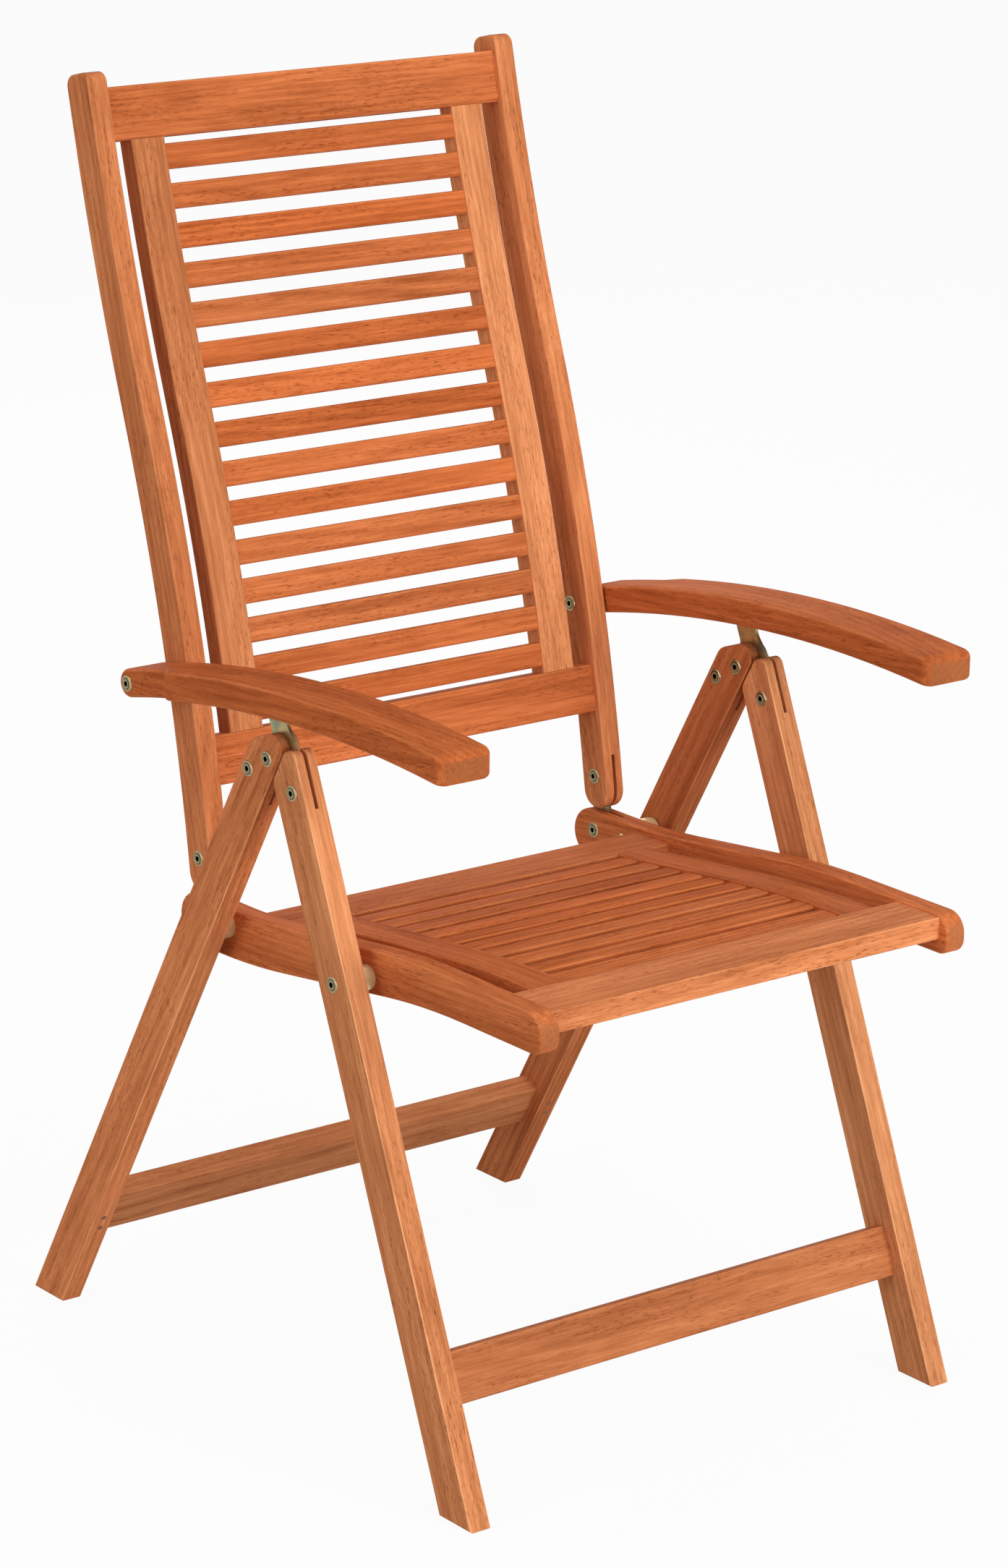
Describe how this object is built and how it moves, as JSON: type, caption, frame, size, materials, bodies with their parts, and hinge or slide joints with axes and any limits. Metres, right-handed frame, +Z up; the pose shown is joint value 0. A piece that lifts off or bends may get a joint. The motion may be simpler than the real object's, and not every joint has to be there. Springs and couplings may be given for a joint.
{
  "type": "folding garden armchair",
  "caption": "High-backed folding garden armchair in slatted oiled hardwood with bent arms, X legs hinged under the arms and a back that reclines in notches",
  "frame": {"origin": "on the floor, under the middle of the chair's bounding box", "axes": "+X to the right seen from the front, the chair faces -Y, +Z up"},
  "size_m": [0.57, 0.686, 1.11],
  "materials": {
    "timber": "oiled hardwood, satin",
    "plate_steel": "zinc plated sheet",
    "bolt_zinc": "yellow zinc plated",
    "spacer_brass": "dull brass"
  },
  "bodies": {
    "front_frame": {"front_leg_left": "timber", "front_leg_right": "timber", "front_stretcher": "timber", "apex_pivot_bolts": "bolt_zinc", "seat_pivot_bolts": "bolt_zinc"},
    "rear_frame": {"rear_leg_left": "timber", "rear_leg_right": "timber", "rear_stretcher": "timber", "apex_plates": "plate_steel", "apex_fixing_bolts": "bolt_zinc"},
    "seat": {"seat_side_rail_left": "timber", "seat_side_rail_right": "timber", "seat_front_rail": "timber", "seat_rear_rail": "timber", "seat_inner_rail_left": "timber", "seat_inner_rail_right": "timber", "seat_slat_01": "timber", "seat_slat_02": "timber", "seat_slat_03": "timber", "seat_slat_04": "timber", "seat_slat_05": "timber", "seat_slat_06": "timber", "seat_slat_07": "timber", "seat_slat_08": "timber", "seat_slat_09": "timber", "seat_slat_10": "timber", "link_lower_bolts": "bolt_zinc", "seat_pivot_spacers": "spacer_brass", "slide_pins": "spacer_brass"},
    "links": {"hinge_links": "plate_steel"},
    "back": {"back_stile_left": "timber", "back_stile_right": "timber", "back_top_rail": "timber", "back_bottom_rail": "timber", "back_inner_stile_left": "timber", "back_inner_stile_right": "timber", "back_slat_01": "timber", "back_slat_02": "timber", "back_slat_03": "timber", "back_slat_04": "timber", "back_slat_05": "timber", "back_slat_06": "timber", "back_slat_07": "timber", "back_slat_08": "timber", "back_slat_09": "timber", "back_slat_10": "timber", "back_slat_11": "timber", "back_slat_12": "timber", "back_slat_13": "timber", "back_slat_14": "timber", "back_slat_15": "timber", "link_upper_bolts": "bolt_zinc", "arm_bolt_left": "bolt_zinc", "arm_washer_left": "bolt_zinc", "arm_bolt_right": "bolt_zinc", "arm_washer_right": "bolt_zinc"},
    "arm_left": {"armrest_left": "timber", "arm_rack_left": "plate_steel"},
    "arm_right": {"armrest_right": "timber", "arm_rack_right": "plate_steel"}
  },
  "joints": [
    {"name": "fold", "type": "hinge", "parent": "front_frame", "child": "rear_frame", "pos_m": [0, -0.05545, 0.5675], "axis": [-1, 0, 0], "range_deg": [0, 50]},
    {"name": "seat_turn", "type": "hinge", "parent": "front_frame", "child": "seat", "pos_m": [0, -0.11365, 0.418], "axis": [-1, 0, 0], "range_deg": [0, 94]},
    {"name": "recline", "type": "hinge", "parent": "seat", "child": "links", "pos_m": [0, 0.13, 0.406], "axis": [-1, 0, 0], "range_deg": [0, 27]},
    {"name": "back_turn", "type": "hinge", "parent": "links", "child": "back", "pos_m": [0, 0.13085, 0.457], "axis": [-1, 0, 0], "range_deg": [-88, 0]},
    {"name": "arm_fold_left", "type": "hinge", "parent": "back", "child": "arm_left", "pos_m": [-0.24, 0.171, 0.611], "axis": [-1, 0, 0], "range_deg": [0, 105]},
    {"name": "arm_fold_right", "type": "hinge", "parent": "back", "child": "arm_right", "pos_m": [0.24, 0.171, 0.611], "axis": [-1, 0, 0], "range_deg": [0, 105]}
  ],
  "couplings": [
    {"joint": "seat_turn", "follows": "fold", "ratio": 1.88},
    {"joint": "back_turn", "follows": "fold", "ratio": -1.76},
    {"joint": "arm_fold_left", "follows": "fold", "ratio": 2.1},
    {"joint": "arm_fold_right", "follows": "fold", "ratio": 2.1}
  ]
}
